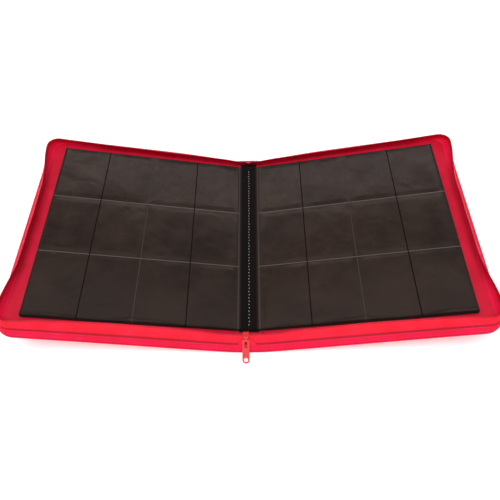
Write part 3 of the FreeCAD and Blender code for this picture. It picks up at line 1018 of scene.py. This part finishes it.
def make_roots():
    """Wedge of leaf roots sewn to the spine, ribbed like the edges of the leaves in it.

    A flat crown with straight slopes, plus a cosine for the ribs, less a bell for the groove.
    """
    y = np.linspace(-LEAF_HALF, LEAF_HALF, 150)[:, None]
    t = np.linspace(-1, 1, 61)[None, :]
    x = (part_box("page_binding")[1].x - 0.3 * MM) * t
    top = ROOT_TOP - ROOT_DIP
    ribs = 0.12 * MM * np.cos(t * math.pi * 2 * LEAVES) * (np.abs(t) < 0.93)
    crown = top - (top - SPINE_TOP) * np.clip((np.abs(t) - 0.1) / 0.9, 0, 1) ** 1.05
    groove = 0.5 * MM * np.exp(-((x + 0.9 * MM) / (0.5 * MM)) ** 2)
    z = np.maximum(crown + ribs - groove, SPINE_TOP + 0.02 * MM)
    piece = slab(
        "sewn_leaf_roots", spread(x, y, z), spread(x, y, SPINE_TOP), BLACK_CLOTH, spread(x, y))
    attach(piece, "spine")
    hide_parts("page_binding")


def make_stitches():
    """Row of lock stitches along the top of the roots: bent capsules that slant by turns."""
    count = int((LEAF_HALF * 2 - ROOT_STITCH_PITCH) / ROOT_STITCH_PITCH)
    y = (np.arange(count) - (count - 1) / 2) * ROOT_STITCH_PITCH
    shape, faces = stitch_shape(0.9 * MM, 0.5 * MM, 0.25 * MM)
    slant = math.radians(24) * np.where(np.arange(count) % 2, 1, -1)
    origin = spread(0.3 * MM + 0.3 * MM * np.sign(slant), y, ROOT_TOP - ROOT_DIP + 0.25 * MM)
    along = spread(np.sin(slant), np.cos(slant), 0)
    across = spread(np.cos(slant), -np.sin(slant), 0)
    places = np.stack([origin, along, across, spread(0 * y, 0, 1)], axis=1)
    piece = repeat_shape("root_stitches", shape, faces, places, THREAD)
    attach(piece, "spine")
    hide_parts("binding_stitches")


# ---- pocket leaves ------------------------------------------------------------------------------


def pocket_lines():
    """Edges between pockets, as distances from a leaf's root and from its middle along it."""
    first = GUTTER_WELD
    last = leaf_length(1)
    across = first + (last - first) * np.arange(COLUMNS + 1) / COLUMNS
    along = -LEAF_HALF + 2 * LEAF_HALF * np.arange(ROWS + 1) / ROWS
    return across, along


def near_line(distance, half_width):
    """1 within half_width of a line, and an S down to 0 beyond it."""
    return 1 - smoothstep((np.abs(distance) - half_width) / TONE_SOFT)


def leaf_tone(a, y, length):
    """Above 0 on the pale welds; down to -1 in the two slits and the margin by the root, painted
    shade that turns them black.
    """
    across, along = pocket_lines()
    across = across + length - leaf_length(1)
    tone = np.zeros(np.broadcast(a, y).shape)
    inside = smoothstep((a - across[0] + 1.2 * MM) / TONE_SOFT)
    for line in along[1:-1]:
        tone = np.maximum(tone, 0.4 * near_line(y - line, 0.45 * MM) * inside)
    tone = np.maximum(tone, 0.2 * near_line(a - across[2], 0.45 * MM))
    tone = np.maximum(tone, 0.2 * near_line(a - across[0], 0.8 * MM))
    # Each slit is painted shade: the tone falls to -1 there.
    for column in (1, 3):
        slit = near_line(a - across[column], 0.7 * MM)
        tone = tone * (1 - slit) - slit
    # Painted shade over the margin's dip to the root: the tone falls towards -0.9 there.
    margin = 0.9 * (1 - smoothstep((a - across[0] + 3.0 * MM) / (1.5 * MM)))
    return tone * (1 - margin) - margin


def sheet_wave(side, number, a, y):
    """Slow waves of a leaf's sheet, which die out towards its root."""
    waves = ripple(a, y, 300 + number * 3 + side, (0.09, 0.13, 0.21), 0.10 * MM)
    return waves * smoothstep((a - 10 * MM) / (30 * MM))


def root_dip(a):
    """How far a leaf's margin bends down between its weld and its root."""
    return -ROOT_DIP * np.clip(1 - a / GUTTER_WELD, 0, 1) ** 2


def edge_curl(a, y):
    """How far the top leaf's near edge turns up: a square law over its last 8 mm, uneven along."""
    uneven = 0.6 + 0.4 * np.sin(a * TAU / 0.13 + 1.2)
    over = np.clip((-y - LEAF_HALF + 8 * MM) / (8 * MM), 0, 1)
    return 1.5 * MM * uneven * over ** 2 * smoothstep((a - 20 * MM) / (40 * MM))


def fine_steps(low, high, coarse, lines, reach=2.2 * MM, fine=0.45 * MM):
    """Values from low to high, coarse apart, and fine apart close to each of the lines."""
    values = list(np.arange(low, high, coarse)) + [high]
    for line in lines:
        values += list(np.clip(np.arange(line - reach, line + reach, fine), low, high))
    values = np.unique(np.round(np.array(values), 7))
    keep = np.concatenate([[True], np.diff(values) > 0.15 * MM])
    return values[keep]


def make_leaf(word, side, number):
    """One pocket leaf: a thin black sheet that waves slightly, with welds pressed into it.

    Height is the sum of slow plane waves, less a groove at every weld and the dip of its margin.
    The lower leaves' edges lag and slip by up to half a millimetre.
    """
    length = leaf_length(number)
    draw = np.random.default_rng(100 * (side + 2) + number)
    lag, slip = draw.uniform(-0.5, 0.5, 2) * MM * (number > 1)
    across, along = pocket_lines()
    coarse, lines_a, lines_y = 9 * MM, (), ()
    if number <= DETAILED_LEAVES:
        coarse, lines_a, lines_y = 4 * MM, across[:-1] + length - leaf_length(1), along[1:-1]
    a = fine_steps(0.3 * MM, length + lag * 0.5 - 0.3 * MM, coarse, lines_a)[None, :]
    y = fine_steps(-LEAF_HALF, LEAF_HALF, coarse, lines_y)[:, None]
    wave = sheet_wave(side, number, a, y) + root_dip(a) + edge_curl(a, y) * (number == 1)
    tone = leaf_tone(a, y, length)
    groove = 0.06 * MM * np.abs(tone)
    y = y + slip
    top = leaf_point(side, number, a, y, LEAF_THICK / 2 + wave - groove)
    bottom = leaf_point(side, number, a, y, -LEAF_THICK / 2 + wave + groove)
    piece = slab("%s_page_%02d" % (word, number), top, bottom, PAGE, spread(a, y), tone)
    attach(piece, "%s_leaf_%02d_body" % (word, number))
    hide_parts("%s_leaf_%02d" % (word, number))


def make_film(word, side, column):
    """The clear film of one column of pockets: a pillow over each, pressed flat at the welds.

    Height over the sheet is an S that rises from every weld, times slow waves; at a slit it starts
    three quarters up.
    """
    across, along = pocket_lines()
    slit_low, slit_high = column in (1, 3), column in (0, 2)
    low = across[column] + (SLIT_GAP if slit_low else WELD_GAP) / 2
    high = across[column + 1] - (SLIT_GAP if slit_high else WELD_GAP) / 2
    if column == 0:
        low += FIRST_GAP
    if column == COLUMNS - 1:
        high = across[column + 1] - WELD_BORDER
    a = np.linspace(low, high, 36)[None, :]
    reach = LEAF_HALF - WELD_BORDER * 0.5
    y = fine_steps(-reach, reach, 2.4 * MM, along[1:-1])[:, None]
    row_edge = np.min(np.abs(y[:, :, None] - along[None, None, :]), axis=2)
    pillow = smoothstep(row_edge / PILLOW_EDGE)
    for from_edge, is_slit in ((a - low, slit_low), (high - a, slit_high)):
        rise = smoothstep(from_edge / PILLOW_EDGE)
        pillow = pillow * (0.75 + 0.25 * rise if is_slit else rise)
    waves = ripple(a, y, 500 + 17 * column + side, (0.045, 0.062, 0.085, 0.12), 0.32 * MM)
    base = sheet_wave(side, 1, a, y) + edge_curl(a, y)
    height = LEAF_THICK / 2 + 0.03 * MM + base + pillow * (FILM_RISE + waves * 0.8)
    top = leaf_point(side, 1, a, y, height + FILM_THICK)
    bottom = leaf_point(side, 1, a, y, height)
    tone = np.broadcast_to(0.55 * near_line(row_edge, 0.35 * MM), pillow.shape)
    name = "%s_pocket_film_%d" % (word, column + 1)
    piece = slab(name, top, bottom, FILM, spread(a, y), tone)
    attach(piece, word + "_leaf_01_body")
    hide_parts(word + "_pocket_films")


# ---- ends of the spine and the zip's end --------------------------------------------------------


def slope_point(end, x, up, out):
    """Points on the cloth that leans in from one end of the spine: up its slope and out from it."""
    low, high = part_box("near_gusset")
    lean = math.atan2(high.z - low.z, high.y - low.y)
    y = END_FOOT - HALF_LENGTH + up * math.cos(lean) - out * math.sin(lean)
    z = SKIN_THICK + END_LIFT + up * math.sin(lean) + out * math.cos(lean)
    return spread(x, -end * y, z)


def make_gusset(name, end, body, node_name, pleat):
    """Cloth panel between the two walls at one end of the spine, with a pleat down its middle.

    The pleat is a bell across the panel, and it and the ripples grow from nothing at the foot.
    """
    x = np.linspace(-END_HALF, END_HALF, 41)[:, None]
    up = np.linspace(1.5 * MM, END_SLOPE, 21)[None, :]
    ripples = ripple(x, up, 61 + end, (0.011, 0.017), 0.25 * MM)
    fold = (ripples - pleat * np.exp(-(x / (3.5 * MM)) ** 2)) * up / END_SLOPE
    top = slope_point(end, x, up, fold + 0.1 * MM)
    bottom = slope_point(end, x, up, fold - 0.6 * MM)
    piece = slab(name, top, bottom, WALL_CLOTH, spread(x, up))
    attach(piece, body)
    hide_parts(node_name)


def tape_point(x, s, out):
    """Points over the near tape at the spine: s from its foot to its head, and out square to it."""
    foot = np.array([-HALF_LENGTH + TAPE_FOOT[0], TAPE_FOOT[3]])
    head = np.array([-HALF_LENGTH + TAPE_INSET, TAPE_HEAD[3] - END_DROP])
    lean = math.atan2(head[1] - foot[1], head[0] - foot[0])
    y = foot[0] + (head[0] - foot[0]) * s - out * math.sin(lean)
    return bowed(spread(x, y, foot[1] + (head[1] - foot[1]) * s + out * math.cos(lean)))


def make_turned_end(word, side):
    """The tape's turned end beside the slider: a flap whose upper edge runs down and outwards.

    Its crest falls in a straight line from the slider's side to the rim, and rolls over there.
    """
    t = np.linspace(0, 1, 28)[:, None]
    v = np.linspace(0, 1, 14)[None, :]
    reach = min(TURN_REACH, SPINE_HALF - TURN_START - TURN_CLEAR - side * SLIDER_X)
    x = SLIDER_X + side * (TURN_START + reach * t)
    s = -0.05 + (0.98 - 0.95 * t) * v
    roll = 0.75 * MM * np.sqrt(np.clip(1 - (2 * v - 1.0) ** 4, 0, 1))
    top = tape_point(x, s, 0.75 * MM + roll)
    bottom = tape_point(x, s, 0.35 * MM)
    # Painted shade along the crest where the flap rolls over: the tone halves the colour there.
    tone = np.broadcast_to(smoothstep((v - 0.82) / 0.18), s.shape)
    uv = spread(x, s * 15 * MM)
    piece = slab(word + "_turned_tape_end", top, bottom, TAPE_CLOTH, uv, tone)
    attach(piece, "spine")


def softened(name, node_name, body, finish, width):
    """A copy of a hard CAD part with its edges rounded by a bevel of the given width."""
    mesh = frame["nodes"][node_name].data.copy()
    mesh.name = name
    work = bmesh.new()
    work.from_mesh(mesh)
    bmesh.ops.remove_doubles(work, verts=work.verts, dist=MERGE)
    bmesh.ops.dissolve_limit(work, angle_limit=FLAT_ANGLE, verts=work.verts, edges=work.edges)
    work.to_mesh(mesh)
    work.free()
    mesh.materials.clear()
    mesh.materials.append(finish)
    mesh.polygons.foreach_set("use_smooth", np.ones(len(mesh.polygons), bool))
    mesh.set_sharp_from_angle(angle=SHARP_ANGLE)
    piece = bpy.data.objects.new(name, mesh)
    bpy.context.scene.collection.objects.link(piece)
    bevel = piece.modifiers.new("rounded_edges", "BEVEL")
    bevel.width = width
    bevel.segments = 3
    bevel.limit_method = "ANGLE"
    bevel.angle_limit = BEVEL_ANGLE
    bevel.harden_normals = True
    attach(piece, body)
    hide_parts(node_name)


def main():
    """Builds the studio and every piece of the binder."""
    set_camera()
    set_studio()
    for word, side in SIDES:
        make_cover(word, side)
        make_fold(word, side)
        make_spine_end(word, side, "near", -1, side * SLIDER_X + SLIDER_CLEAR)
        make_spine_end(word, side, "far", 1, FAR_END_X)
        make_turned_end(word, side)
        for number in range(1, LEAVES + 1):
            make_leaf(word, side, number)
        for column in range(COLUMNS):
            make_film(word, side, column)
    make_spine()
    make_roots()
    make_stitches()
    make_gusset("near_gusset_cloth", -1, "spine", "near_gusset", 0)
    make_gusset("far_gusset_cloth", 1, "gusset_flap", "far_gusset", 2.5 * MM)
    softened("pull_tab", "zip_pull", "pull", ENAMEL, 0.3 * MM)
    softened("slider", "zip_slider", "spine", ENAMEL, 0.2 * MM)
    softened("pull_pin", "slider_pin", "spine", STEEL, 0.1 * MM)
    softened("tape_end_stop", "zip_end_stop", "spine", ENAMEL, 0.2 * MM)


main()
